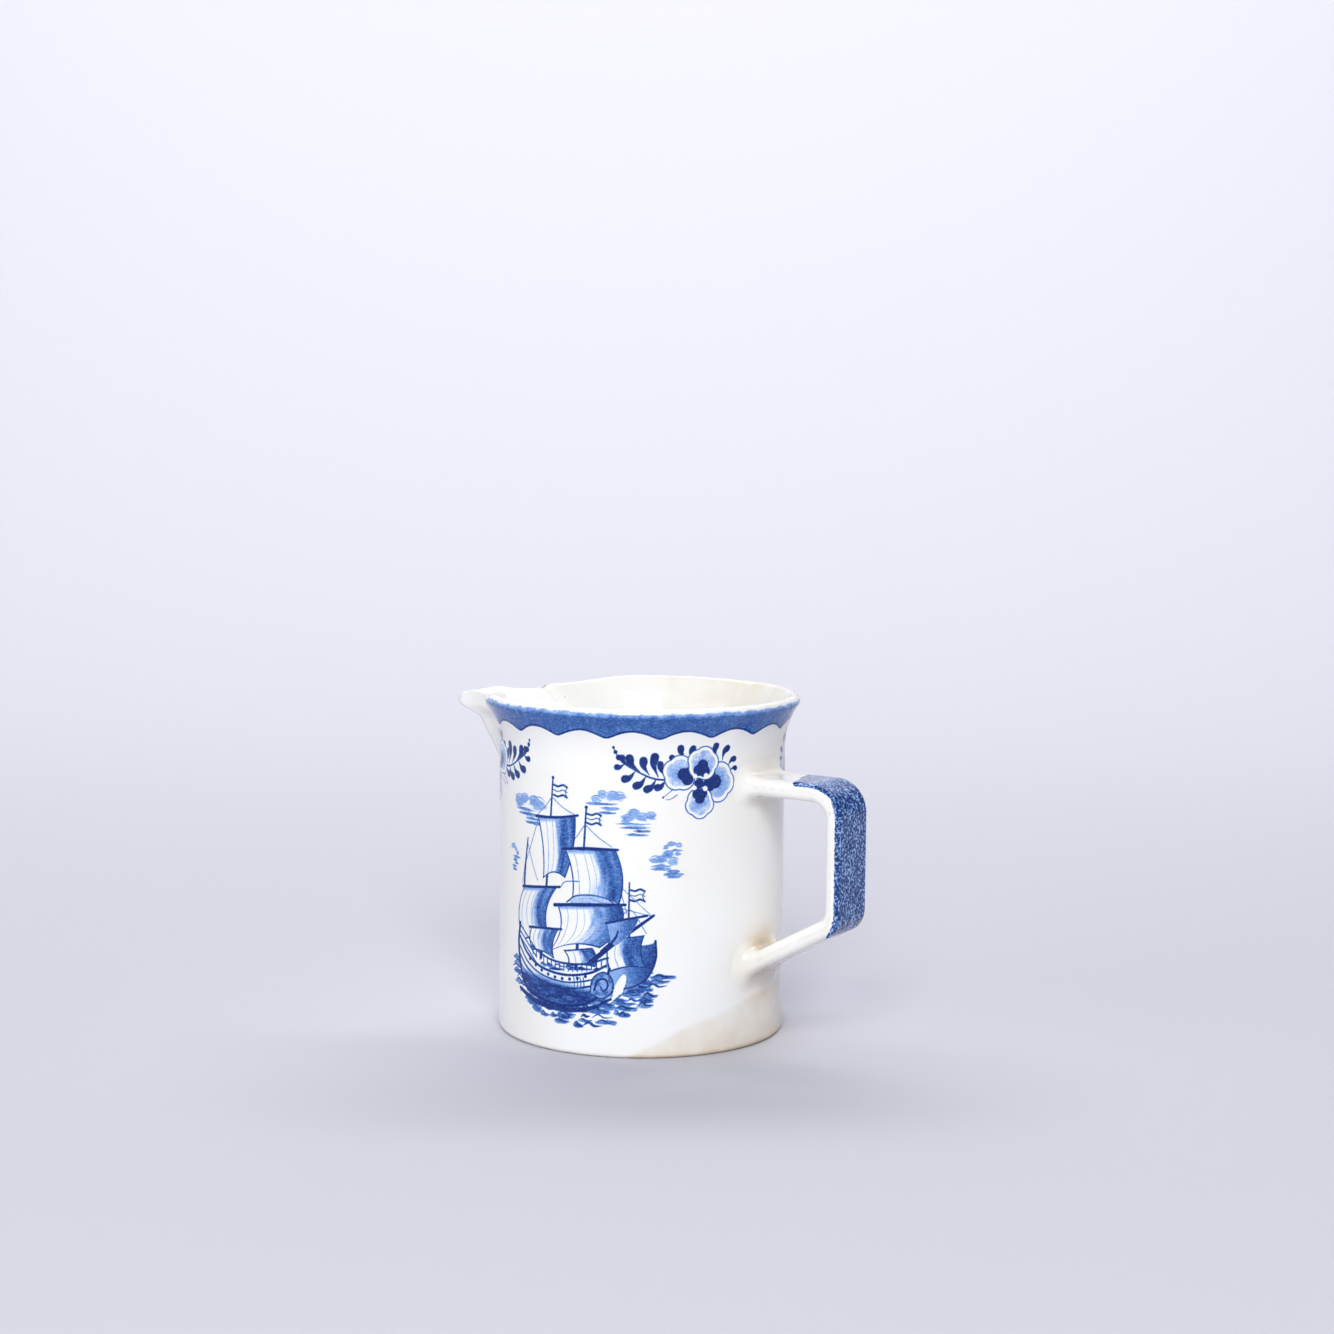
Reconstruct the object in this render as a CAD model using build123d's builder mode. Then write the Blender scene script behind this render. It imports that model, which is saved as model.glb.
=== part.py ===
from build123d import *
from math import cos, radians, sin, sqrt, tan
import os

# Cylindrical cream jug of glazed earthenware: a cast pot with a flared rim, an applied
# pouring spout and an applied strap handle, each fixed with a fillet of slip.
# Millimetres. The origin is at the centre of the foot, on the pot's axis. +Z is up,
# the handle points to +X and the spout to -X.

# ---- pot ----
pot_height = 90.0          # foot to the top of the rim
pot_radius = 38.0          # outside of the straight wall
wall = 3.3                 # thickness of the wall and the rim
flare_radius = 20.0        # outer curve of the rim's flare
flare_angle = 34.5         # lean of the rim from upright, degrees
floor_thickness = 4.5
floor_cove = 5.0           # round where the inside wall meets the floor
foot_round = 1.2           # outer bottom edge
foot_ring_width = 5.0
foot_recess = 1.4          # depth of the hollow under the floor

# ---- spout, with its heights measured down from the top of the rim ----
spout_overhang = 23.6      # tip of the lip beyond the straight wall
keel_overhang = 16.6       # keel, just under the lip, beyond the straight wall
keel_foot_drop = 36.0      # to the keel's foot on the wall
brow_drop = 9.6            # to the underside of the lip
lip_slope = 3.0            # height over which the lip slopes out to its tip
tip_drop = 5.2             # to the top of the tip
saddle_drop = 3.0          # to the lips' dip just outside the rim
saddle_overhang = 6.5      # lips' dip beyond the rim
swell_drop = 2.5           # to the lips' swell between the dip and the tip
swell_back = 8.0           # swell back from the tip
throat_drop = 27.0         # to the floor of the throat
spout_wall = 2.7
spout_width = 38.0         # across the beak where its hollow sides run into the pot
nose_radius = 4.8          # plan radius of the tip
keel_radius = 1.6          # plan radius of the keel's foot

# ---- handle, with its heights measured down from the top of the rim ----
handle_overhang = 26.9     # back of the grip beyond the straight wall
handle_width = 16.0
arm_thickness = 4.7        # upper and lower arms
grip_thickness = 4.0
handle_top_drop = 18.8     # to the top of the upper arm
handle_foot_drop = 70.7    # to the lower arm's underside at the wall
lower_arm_angle = 28.5     # rise of the lower arm, degrees
knuckle_radius = 8.5       # outside of the upper bend
heel_radius = 7.0          # outside of the lower bend
handle_round = 1.7         # edges of the strap

# ---- slip that fixes the handle and the spout ----
slip_reach = 2.0           # how far the slip runs out along an arm
slip_spread = 2.0          # how far it spreads over the pot around an arm
slip_edge = 0.15           # thickness of the slip where it ends on an arm
seam_slip = 1.2            # width and height of the slip along the spout's seam

# ---- places that follow from the sizes ----
lean = radians(flare_angle)
rim_round = wall / 2
bore_radius = pot_radius - wall
floor_z = foot_recess + floor_thickness
flare_start_z = pot_height - rim_round - (flare_radius + rim_round) * sin(lean)
ring_inner_radius = pot_radius - foot_round - foot_ring_width
clear_z = pot_height + 5            # above everything
inside_x = bore_radius - 6          # inside the pot, where the applied pieces' blanks begin


def flare_point(depth, angle):
    """A point of the flare's section, depth inside its outer face."""
    reach = flare_radius + depth
    return (pot_radius + flare_radius - reach * cos(angle), flare_start_z + reach * sin(angle))


def crown_point(grow):
    """The rim's end, in the middle of its thickness, with grow added to the rim's round."""
    centre_x, centre_z = flare_point(rim_round, lean)
    return (centre_x + (rim_round + grow) * sin(lean), centre_z + (rim_round + grow) * cos(lean))


def filled_pot(grow):
    """The pot filled in to its axis and enlarged by grow, to cut other pieces to its curve."""
    outer_rim = flare_point(-grow, lean)
    inner_rim = flare_point(wall + grow, lean)
    with BuildPart() as envelope:
        with BuildSketch(Plane.XZ):
            with BuildLine():
                Polyline((inner_rim[0], clear_z), (0, clear_z), (0, 0), (pot_radius + grow, 0),
                         (pot_radius + grow, flare_start_z))
                ThreePointArc((pot_radius + grow, flare_start_z), flare_point(-grow, lean / 2),
                              outer_rim)
                ThreePointArc(outer_rim, crown_point(grow), inner_rim)
                Line(inner_rim, (inner_rim[0], clear_z))
            make_face()
        revolve(axis=Axis.Z)
    return envelope.part


pot_envelope = filled_pot(0)

# ---- spout blank: plan sections of a beak with hollow sides and a round nose ----
keel_foot_z = pot_height - keel_foot_drop
brow_z = pot_height - brow_drop
lip_z = brow_z + lip_slope
tip_z = pot_height - tip_drop
tip_x = pot_radius + spout_overhang
keel_x = pot_radius + keel_overhang


def beak_section(level, nose, width, radius):
    """Plan section of the beak at a height: nose is its reach from the pot's axis."""
    back = 0.3 * radius
    side_x = nose - radius + back
    side_y = sqrt(radius ** 2 - back ** 2)
    waist_x = 0.5 * (inside_x + side_x)
    waist_y = side_y + 0.3 * (width / 2 - side_y)
    with BuildSketch(Plane.XY.offset(level)) as section:
        with BuildLine():
            Spline((-inside_x, width / 2), (-waist_x, waist_y), (-side_x, side_y),
                   tangents=((-0.75, -0.66), (-side_y, -back)))
            ThreePointArc((-side_x, side_y), (-nose, 0), (-side_x, -side_y))
            Spline((-side_x, -side_y), (-waist_x, -waist_y), (-inside_x, -width / 2),
                   tangents=((side_y, -back), (0.75, -0.66)))
            Line((-inside_x, -width / 2), (-inside_x, width / 2))
        make_face()
    return section.sketch


def beak(grow):
    """The solid beak enlarged by grow: a straight keel, and the lip that overhangs it."""
    foot = beak_section(keel_foot_z - 2 * grow, pot_radius + 0.5 + grow,
                        6 * keel_radius + 2 * grow, keel_radius + grow)
    brow = beak_section(brow_z, keel_x + grow, spout_width + 2 * grow, nose_radius + grow)
    lip = beak_section(lip_z, tip_x + grow, spout_width + 2 * grow, nose_radius + grow)
    with BuildPart() as solid:
        add(foot)
        add(brow)
        loft(ruled=True)
        add(brow)
        add(lip)
        loft(ruled=True)
        add(lip)
        extrude(amount=clear_z - lip_z)
    return solid.part


beak_blank = beak(0)

# The channel, a spout wall inside the beak. It also opens the pot's wall to the spout.
throat_z = pot_height - throat_drop
throat_rise = (throat_z - keel_foot_z) / (brow_z - keel_foot_z)
throat_nose = pot_radius + throat_rise * keel_overhang - spout_wall
throat_width = 6 * keel_radius + throat_rise * (spout_width - 6 * keel_radius) - 2 * spout_wall
channel_width = spout_width - 2 * spout_wall
channel_radius = nose_radius - spout_wall / 2
with BuildPart() as throat:
    throat_floor = beak_section(throat_z, throat_nose, throat_width, keel_radius)
    throat_brow = beak_section(lip_z, keel_x - spout_wall, channel_width, channel_radius)
    throat_lip = beak_section(tip_z, tip_x - spout_wall, channel_width, channel_radius)
    add(throat_floor)
    add(throat_brow)
    loft(ruled=True)
    add(throat_brow)
    add(throat_lip)
    loft(ruled=True)
    add(throat_lip)
    extrude(amount=clear_z - tip_z)

# The space over the lips, which run from the rim through a slight saddle down to the tip.
saddle_x = crown_point(0)[0] + saddle_overhang
with BuildPart() as over_lips:
    with BuildSketch(Plane.XZ.offset(-spout_width)):
        with BuildLine():
            Spline((-inside_x, pot_height), (-saddle_x, pot_height - saddle_drop),
                   (swell_back - tip_x, pot_height - swell_drop), (-tip_x, tip_z))
            Polyline((-tip_x, tip_z), (-tip_x - 5, tip_z), (-tip_x - 5, clear_z + 5),
                     (-inside_x, clear_z + 5), (-inside_x, pot_height))
        make_face()
    extrude(amount=2 * spout_width)

# ---- body: one casting of wall, floor, foot ring and flared rim ----
with BuildPart() as body:
    with BuildSketch(Plane.XZ):
        with BuildLine():
            Polyline((0, floor_z), (0, foot_recess), (ring_inner_radius - foot_recess, foot_recess),
                     (ring_inner_radius, 0), (pot_radius - foot_round, 0))
            RadiusArc((pot_radius - foot_round, 0), (pot_radius, foot_round), -foot_round)
            Line((pot_radius, foot_round), (pot_radius, flare_start_z))
            ThreePointArc((pot_radius, flare_start_z), flare_point(0, lean / 2),
                          flare_point(0, lean))
            ThreePointArc(flare_point(0, lean), crown_point(0), flare_point(wall, lean))
            ThreePointArc(flare_point(wall, lean), flare_point(wall, lean / 2),
                          (bore_radius, flare_start_z))
            Line((bore_radius, flare_start_z), (bore_radius, floor_z + floor_cove))
            RadiusArc((bore_radius, floor_z + floor_cove), (bore_radius - floor_cove, floor_z),
                      floor_cove)
            Line((bore_radius - floor_cove, floor_z), (0, floor_z))
        make_face()
    revolve(axis=Axis.Z)
    add(throat.part, mode=Mode.SUBTRACT)

# ---- spout: a hollow beak, cut to the curve of the pot ----
with BuildPart() as spout:
    add(beak_blank)
    add(over_lips.part, mode=Mode.SUBTRACT)
    add(throat.part, mode=Mode.SUBTRACT)
    add(pot_envelope, mode=Mode.SUBTRACT)

# ---- spout_slip: the bead of slip along the outside of the spout's seam ----
with BuildPart() as spout_slip:
    add(beak(seam_slip))
    add(filled_pot(seam_slip), mode=Mode.INTERSECT)
    add(over_lips.part, mode=Mode.SUBTRACT)
    add(pot_envelope, mode=Mode.SUBTRACT)
    add(beak_blank, mode=Mode.SUBTRACT)

# ---- handle: a strap with square bends, cut to the curve of the pot ----
grip_x = pot_radius + handle_overhang
grip_inner_x = grip_x - grip_thickness
handle_top_z = pot_height - handle_top_drop
handle_foot_z = pot_height - handle_foot_drop
arm_slope = tan(radians(lower_arm_angle))
lower_arm_height = arm_thickness / cos(radians(lower_arm_angle))   # measured upright


def lower_arm_z(x, above):
    """Height of a line along the lower arm at x, a distance above its underside."""
    return handle_foot_z + above + (x - pot_radius) * arm_slope


with BuildPart() as handle:
    with BuildSketch(Plane.XZ):
        with BuildLine():
            FilletPolyline((inside_x, handle_top_z), (grip_x, handle_top_z),
                           (grip_x, lower_arm_z(grip_x, 0)), (inside_x, lower_arm_z(inside_x, 0)),
                           radius=(knuckle_radius, heel_radius))
            Line((inside_x, lower_arm_z(inside_x, 0)),
                 (inside_x, lower_arm_z(inside_x, lower_arm_height)))
            FilletPolyline((inside_x, lower_arm_z(inside_x, lower_arm_height)),
                           (grip_inner_x, lower_arm_z(grip_inner_x, lower_arm_height)),
                           (grip_inner_x, handle_top_z - arm_thickness),
                           (inside_x, handle_top_z - arm_thickness),
                           radius=(heel_radius - grip_thickness, knuckle_radius - grip_thickness))
            Line((inside_x, handle_top_z - arm_thickness), (inside_x, handle_top_z))
        make_face()
    extrude(amount=handle_width / 2, both=True)
    strap_edges = handle.edges().filter_by(Axis.Y, reverse=True)
    fillet(strap_edges.filter_by(lambda edge: edge.center().X > inside_x + 0.1), handle_round)
    add(pot_envelope, mode=Mode.SUBTRACT)


# ---- slip around the handle's two roots ----
def arm_section(x, centre_z, height, grow):
    """Upright section of an arm at x, enlarged all round."""
    with BuildSketch(Plane.YZ.offset(x)) as section:
        with Locations((0, centre_z)):
            RectangleRounded(handle_width + 2 * grow, height + 2 * grow, handle_round + grow)
    return section.sketch


def root_slip(wall_z, slope, height):
    """A collar of slip that tapers from the pot's wall to the arm, centred at wall_z."""
    start_x = pot_radius - slip_reach / 2
    end_x = pot_radius + slip_reach
    with BuildPart() as collar:
        add(arm_section(start_x, wall_z + slope * (start_x - pot_radius), height, slip_spread))
        add(arm_section(end_x, wall_z + slope * (end_x - pot_radius), height, slip_edge))
        loft(ruled=True)
        add(pot_envelope, mode=Mode.SUBTRACT)
        add(handle.part, mode=Mode.SUBTRACT)
    return collar


handle_upper_slip = root_slip(handle_top_z - arm_thickness / 2, 0, arm_thickness)
handle_lower_slip = root_slip(handle_foot_z + lower_arm_height / 2, arm_slope, lower_arm_height)

# ---- each piece is written as its own node ----
pieces = {
    "body": body,
    "spout": spout,
    "spout_slip": spout_slip,
    "handle": handle,
    "handle_upper_slip": handle_upper_slip,
    "handle_lower_slip": handle_lower_slip,
}
os.makedirs("parts", exist_ok=True)
for name, piece in pieces.items():
    piece.part.label = name
    export_step(piece.part, "parts/" + name + ".step")
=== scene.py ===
import math

import bpy
import numpy as np
from mathutils import Matrix, Vector


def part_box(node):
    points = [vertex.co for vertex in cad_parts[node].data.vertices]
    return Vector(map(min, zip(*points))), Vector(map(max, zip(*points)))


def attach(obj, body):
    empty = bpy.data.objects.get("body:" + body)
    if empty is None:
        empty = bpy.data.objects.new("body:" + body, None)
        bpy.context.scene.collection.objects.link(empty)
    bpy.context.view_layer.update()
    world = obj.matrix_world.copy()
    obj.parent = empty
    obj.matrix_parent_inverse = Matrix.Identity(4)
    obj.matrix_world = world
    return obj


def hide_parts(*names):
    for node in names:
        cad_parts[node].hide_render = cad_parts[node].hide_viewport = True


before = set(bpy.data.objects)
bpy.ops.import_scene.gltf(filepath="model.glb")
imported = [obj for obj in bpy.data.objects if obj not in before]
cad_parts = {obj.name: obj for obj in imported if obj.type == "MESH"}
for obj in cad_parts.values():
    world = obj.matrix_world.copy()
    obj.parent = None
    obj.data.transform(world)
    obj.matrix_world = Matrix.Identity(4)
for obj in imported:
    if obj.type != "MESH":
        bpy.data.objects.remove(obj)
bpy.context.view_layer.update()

# The looks of a cylindrical cream jug in glazed earthenware with blue printed decoration.
# Shapes are worked out in millimetres in the row frame and turned into metres at the end:
# +Z up, handle towards +X, spout towards -X, origin at the centre of the foot.
MM = 0.001


def node_box(name):
    """Lowest and highest corner of a CAD node, in millimetres."""
    low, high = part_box(name)
    return np.array(low) / MM, np.array(high) / MM


# ---- sizes
body_high = node_box("body")[1]
handle_high = node_box("handle")[1]
spout_low = node_box("spout")[0]

HEIGHT = body_high[2]
RIM_REACH = body_high[1]  # radius of the widest circle of the rim
WALL = 3.3
CAP = WALL / 2  # radius of the rim's rounded edge
FLARE_RADIUS = 20.0
LEAN = math.radians(34.5)  # lean of the rim from upright
RADIUS = RIM_REACH - CAP - FLARE_RADIUS + (FLARE_RADIUS + CAP) * math.cos(LEAN)
FLARE_Z = HEIGHT - CAP - (FLARE_RADIUS + CAP) * math.sin(LEAN)
FLARE_RUN = FLARE_RADIUS * LEAN  # length of the flare's arc
RIM_RUN = FLARE_Z + FLARE_RUN  # run up the wall to where the rounded rim begins
RIM_DIP = 1.7  # how far the rim sinks beside the spout
FOOT_RECESS = 1.4
FLOOR_Z = 5.9  # top of the floor inside
RING_IN = 31.8  # inside radius of the foot ring

GRIP_X = handle_high[0]
HANDLE_HALF = handle_high[1]
ARM = 4.7  # thickness of the strap's arms
GRIP = 4.0  # thickness of its upright part
HANDLE_TOP = handle_high[2]
HANDLE_FOOT = HEIGHT - 70.7  # lower arm's underside where it meets the wall
ARM_SLOPE = math.tan(math.radians(28.5))
KNUCKLE = 8.5  # outer bend at the top
HEEL = 7.0  # outer bend at the bottom
HANDLE_ROUND = 1.9  # rounding of the strap's edges

TIP_X = -spout_low[0]
KEEL_X = TIP_X - 7.0
KEEL_FOOT_Z = spout_low[2]
BROW_Z = HEIGHT - 9.6  # where the lip starts to overhang the keel
LIP_RISE = 3.2  # height over which the overhang comes out
NOSE_RADIUS, NOSE_GROWTH = 1.6, 3.2  # at the keel's foot, and what the brow adds
ROOT_SPREAD, ROOT_GROWTH = 3.2, 11.0  # how much wider the beak's root is than its nose
BEAK_WALL = 2.7
THROAT_X = RADIUS - WALL - 4  # where the throat starts, inside the pot
THROAT_FLOOR_Z = HEIGHT - 27.0


# ---- outlines made of lines and arcs
def rounded_outline(corners):
    """Lines and arcs of a closed outline whose corners (x, z, radius) are rounded."""
    points = [np.array(c[:2], float) for c in corners]
    parts, ends = [], []
    count = len(points)
    for i, (_, _, radius) in enumerate(corners):
        here = points[i]
        before = points[i - 1] - here
        after = points[(i + 1) % count] - here
        before /= np.linalg.norm(before)
        after /= np.linalg.norm(after)
        half = 0.5 * math.acos(max(-1.0, min(1.0, float(before @ after))))
        if radius <= 0 or half > math.pi / 2 - 1e-6:
            ends.append((here, here, None))
            continue
        run = radius / math.tan(half)
        centre = here + (before + after) / np.linalg.norm(before + after) * radius / math.sin(half)
        ends.append((here + before * run, here + after * run, (centre, radius)))
    for i in range(count):
        start, finish, arc = ends[i]
        if arc is not None:
            parts.append(("arc", arc[0], arc[1], start, finish))
        parts.append(("line", finish, ends[(i + 1) % count][0]))
    return parts


def arc_points(part, steps):
    """Points along an arc, from its start to its finish, by the shorter way round."""
    centre, radius, start, finish = part[1:]
    a0 = math.atan2(start[1] - centre[1], start[0] - centre[0])
    a1 = math.atan2(finish[1] - centre[1], finish[0] - centre[0])
    turn = (a1 - a0 + math.pi) % (2 * math.pi) - math.pi
    angles = a0 + turn * np.linspace(0, 1, steps)
    return centre + radius * np.stack([np.cos(angles), np.sin(angles)], 1)


def outline_distance(x, z, parts):
    """Signed distance from points to an outline, negative inside it."""
    best = np.full(x.shape, 1e9)
    polygon = []
    for part in parts:
        if part[0] == "line":
            a, b = part[1], part[2]
            polygon.append(a[None])
            span = b - a
            length2 = max(float(span @ span), 1e-12)
            t = np.clip(((x - a[0]) * span[0] + (z - a[1]) * span[1]) / length2, 0, 1)
            best = np.minimum(best, np.hypot(x - a[0] - t * span[0], z - a[1] - t * span[1]))
        else:
            centre, radius, start, finish = part[1:]
            polygon.append(arc_points(part, 40))
            middle = (start + finish) / 2 - centre
            reach = np.hypot(*middle)
            cos_half = reach / radius
            dx, dz = x - centre[0], z - centre[1]
            away = np.hypot(dx, dz) + 1e-12
            within = (dx * middle[0] + dz * middle[1]) / (away * max(reach, 1e-9)) >= cos_half
            best = np.where(within, np.minimum(best, np.abs(away - radius)), best)
    polygon = np.concatenate(polygon)
    inside = np.zeros(x.shape, bool)
    previous = polygon[-1]
    for point in polygon:
        if point[1] != previous[1]:
            crosses = (point[1] > z) != (previous[1] > z)
            at = (previous[0] - point[0]) * (z - point[1]) / (previous[1] - point[1]) + point[0]
            inside ^= crosses & (x < at)
        previous = point
    return np.where(inside, -best, best)


def soft_min(a, b, blend):
    """The smaller of two distances, with a fillet where they are close."""
    h = np.clip(0.5 + 0.5 * (b - a) / blend, 0, 1)
    return b + (a - b) * h - blend * h * (1 - h)


def soft_max(a, b, blend):
    """The larger of two distances, rounded where they are close."""
    return -soft_min(-a, -b, blend)


def smooth_step(x, low, high):
    """From 0 at low to 1 at high, level at both ends; low may be the larger."""
    t = np.clip((x - low) / (high - low), 0, 1)
    return t * t * (3 - 2 * t)


# ---- shapes as distances
def pot_outline():
    """Half of the pot's section, from the axis outwards."""
    flare_run = FLARE_RADIUS * math.tan(LEAN / 2)
    inner_run = (FLARE_RADIUS + WALL) * math.tan(LEAN / 2)
    along = np.array([math.sin(LEAN), math.cos(LEAN)])
    centre = np.array([RADIUS + FLARE_RADIUS, FLARE_Z])
    across = np.array([-math.cos(LEAN), math.sin(LEAN)])
    cap = CAP - 1e-4
    out_tip = centre + FLARE_RADIUS * across + along * cap
    inn_tip = centre + (FLARE_RADIUS + WALL) * across + along * cap
    bore = RADIUS - WALL
    return rounded_outline([
        (-20, FOOT_RECESS, 0), (RING_IN - 0.9, FOOT_RECESS, 1.1), (RING_IN + 0.5, 0, 0.9),
        (RADIUS, 0, 1.2), (RADIUS, FLARE_Z + flare_run, FLARE_RADIUS),
        (out_tip[0], out_tip[1], cap), (inn_tip[0], inn_tip[1], cap),
        (bore, FLARE_Z + inner_run, FLARE_RADIUS + WALL), (bore, FLOOR_Z, 5.0), (-20, FLOOR_Z, 0)])


def handle_outline():
    """The strap from the side: a level upper arm, an upright grip and a sloping lower arm."""
    def line_z(x, above):
        return HANDLE_FOOT + above + (x - RADIUS) * ARM_SLOPE

    inside = RADIUS - 9
    rise = ARM * math.hypot(1, ARM_SLOPE)
    inner = GRIP_X - GRIP
    return rounded_outline([
        (inside, HANDLE_TOP, 0), (GRIP_X, HANDLE_TOP, KNUCKLE), (GRIP_X, line_z(GRIP_X, 0), HEEL),
        (inside, line_z(inside, 0), 0), (inside, line_z(inside, rise), 0),
        (inner, line_z(inner, rise), HEEL - GRIP), (inner, HANDLE_TOP - ARM, KNUCKLE - GRIP),
        (inside, HANDLE_TOP - ARM, 0)])


POT = pot_outline()
HANDLE = handle_outline()


def rim_dip(x, z):
    """How far the rim sinks where it runs into the spout's lips."""
    return RIM_DIP * smooth_step(-x, RADIUS - 13, RADIUS + 1) * smooth_step(z, FLARE_Z - 3, HEIGHT)


def pot_distance(p):
    """Distance to the pot before the spout is cut into it."""
    height = p[:, 2] + rim_dip(p[:, 0], p[:, 2])
    return outline_distance(np.hypot(p[:, 0], p[:, 1]), height, POT)


def wall_reach(z):
    """Radius of the pot's outer face at a height."""
    rise = np.clip(z - FLARE_Z, 0, FLARE_RADIUS * math.sin(LEAN))
    return RADIUS + FLARE_RADIUS - np.sqrt(FLARE_RADIUS ** 2 - rise ** 2)


def strap_distance(p):
    """Distance to the handle's strap with its rounded edges, out to its ends inside the wall."""
    flat = outline_distance(p[:, 0], p[:, 2], HANDLE) + HANDLE_ROUND
    side = np.abs(p[:, 1]) - HANDLE_HALF + HANDLE_ROUND
    outer = np.hypot(np.maximum(flat, 0), np.maximum(side, 0))
    return outer + np.minimum(np.maximum(flat, side), 0) - HANDLE_ROUND


def beak_reach(z, grow):
    """Reach of the beak's nose at a height: a straight keel, then the lip that overhangs it."""
    keel = RADIUS + 0.5 + (KEEL_X - RADIUS - 0.5) * (z - KEEL_FOOT_Z) / (BROW_Z - KEEL_FOOT_Z)
    keel = soft_min(keel, KEEL_X + 0.6 * (z - BROW_Z), 1.0)
    lip = smooth_step(z, BROW_Z - 1.0, BROW_Z + LIP_RISE)
    return keel * (1 - lip) + TIP_X * lip + grow


def beak_distance(p, grow=0.0, floor=None):
    """Rough distance to the solid beak, enlarged by grow: a round nose between flaring flanks."""
    reach_x, y, z = -p[:, 0], np.abs(p[:, 1]), p[:, 2]
    rise = soft_min(np.maximum((z - KEEL_FOOT_Z) / (BROW_Z - KEEL_FOOT_Z), -0.15), 1.0, 0.2)
    nose = beak_reach(z, grow)
    radius = np.maximum(NOSE_RADIUS + NOSE_GROWTH * np.clip(rise, 0, 1) + grow * 0.6, 0.7)
    back = nose - reach_x
    round_part = np.clip(back / radius, 0, 1)
    width = radius * np.sqrt(np.maximum(1 - (1 - round_part) ** 2, 0))
    root_x = RADIUS - WALL - 6
    flank_start = 0.7 * radius
    flare = (back - flank_start) / np.maximum(nose - root_x - flank_start, 4.0)
    flare = (flare + np.sqrt(flare ** 2 + 0.12 ** 2)) / 2
    width = width + np.maximum(ROOT_SPREAD + ROOT_GROWTH * rise, 0.2) * flare ** 1.7
    tip = np.hypot(np.maximum(radius - back, 0), y) - radius
    side = (y - width) * 0.93
    distance = tip + (side - tip) * smooth_step(back / radius, 0.35, 0.75)
    if floor is not None:
        distance = soft_max(distance, floor - z, 2.0)
    return distance


def lip_top(reach_x):
    """Height of the lips along the spout: a dip outside the rim, a swell, then the tip."""
    stations = np.array([RADIUS - 9, RADIUS - 2, RIM_REACH - 1.5, RIM_REACH + 5.2,
                         TIP_X - 8, TIP_X - 3, TIP_X + 2])
    heights = HEIGHT - np.array([2.4, 2.4, 2.5, 2.9, 2.5, 3.9, 6.6])
    x = np.clip(reach_x, stations[0], stations[-1])
    index = np.clip(np.searchsorted(stations, x) - 1, 0, len(stations) - 2)
    slopes = np.gradient(heights, stations)
    span = stations[index + 1] - stations[index]
    t = (x - stations[index]) / span
    h00, h10 = 2 * t**3 - 3 * t**2 + 1, t**3 - 2 * t**2 + t
    h01, h11 = -2 * t**3 + 3 * t**2, t**3 - t**2
    return (h00 * heights[index] + h10 * span * slopes[index]
            + h01 * heights[index + 1] + h11 * span * slopes[index + 1])


def channel_distance(p):
    """The throat and channel of the spout, open at the top and into the pot."""
    lowered = p.copy()
    lowered[:, 2] -= 3.0 * smooth_step(-p[:, 0], RIM_REACH - 4, TIP_X - 9)
    channel = beak_distance(lowered, -BEAK_WALL, floor=THROAT_FLOOR_Z)
    return soft_max(channel, p[:, 0] + THROAT_X, 0.5)


LIP_ROUND = 2.2  # rounding of the edges that the channel cuts
OVERLAP = 0.06  # how far a piece's edge sinks under the glaze it grows out of
LIFT = 0.012  # how far a piece stands over the pot's glaze elsewhere
SKIN = 1.0  # depth of a piece's skin where it lies over the pot


def past_mid_wall(p):
    """Distance inwards from the middle of the pot's wall."""
    return wall_reach(p[:, 2]) - WALL / 2 - np.hypot(p[:, 0], p[:, 1])


def over_pot(joined, pot, away, sink_from, skirt):
    """A piece joined to the pot, kept as a skin there that sinks under the glaze at its skirt."""
    sink = OVERLAP * smooth_step(away, sink_from, skirt - 0.4) - LIFT
    keep = soft_max(joined + sink, -(pot + SKIN), 0.3)
    return np.maximum(keep, away - skirt)


def body_distance(p):
    return soft_max(pot_distance(p), -channel_distance(p) + 0.03, LIP_ROUND)


def spout_distance(p):
    pot = pot_distance(p)
    beak = soft_max(beak_distance(p), p[:, 2] - lip_top(-p[:, 0]), 1.2)
    beak = soft_max(beak, past_mid_wall(p), 0.3)
    beak = np.maximum(beak, 10 + p[:, 0])
    fillet = 3.4 - 2.8 * smooth_step(p[:, 2], HEIGHT - 12, HEIGHT - 4)
    joined = soft_min(beak, pot, fillet)
    joined = soft_max(joined, -channel_distance(p), LIP_ROUND)
    return over_pot(joined, pot, beak, 1.6, 3.4)


def handle_distance(p):
    pot = pot_distance(p)
    past_wall = past_mid_wall(p)
    strap = soft_max(strap_distance(p), past_wall, 0.3)
    joined = soft_min(strap, pot, 4.6)
    return np.maximum(over_pot(joined, pot, strap, 2.2, 4.4), past_wall)


# ---- meshes from distances
COARSE = 4  # grid steps between the first, rough samples
BLOCK = 400000  # samples worked out at a time
SETTLE = 4  # steps that move the vertices onto the surface


SLOPE_STEP = 0.02  # half the length over which a slope is measured


def gradient(distance, points):
    """Slopes of a distance at some points, one row each."""
    columns = []
    for axis in range(3):
        shift = np.zeros(3)
        shift[axis] = SLOPE_STEP
        columns.append((distance(points + shift) - distance(points - shift)) / (2 * SLOPE_STEP))
    return np.stack(columns, 1)


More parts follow.
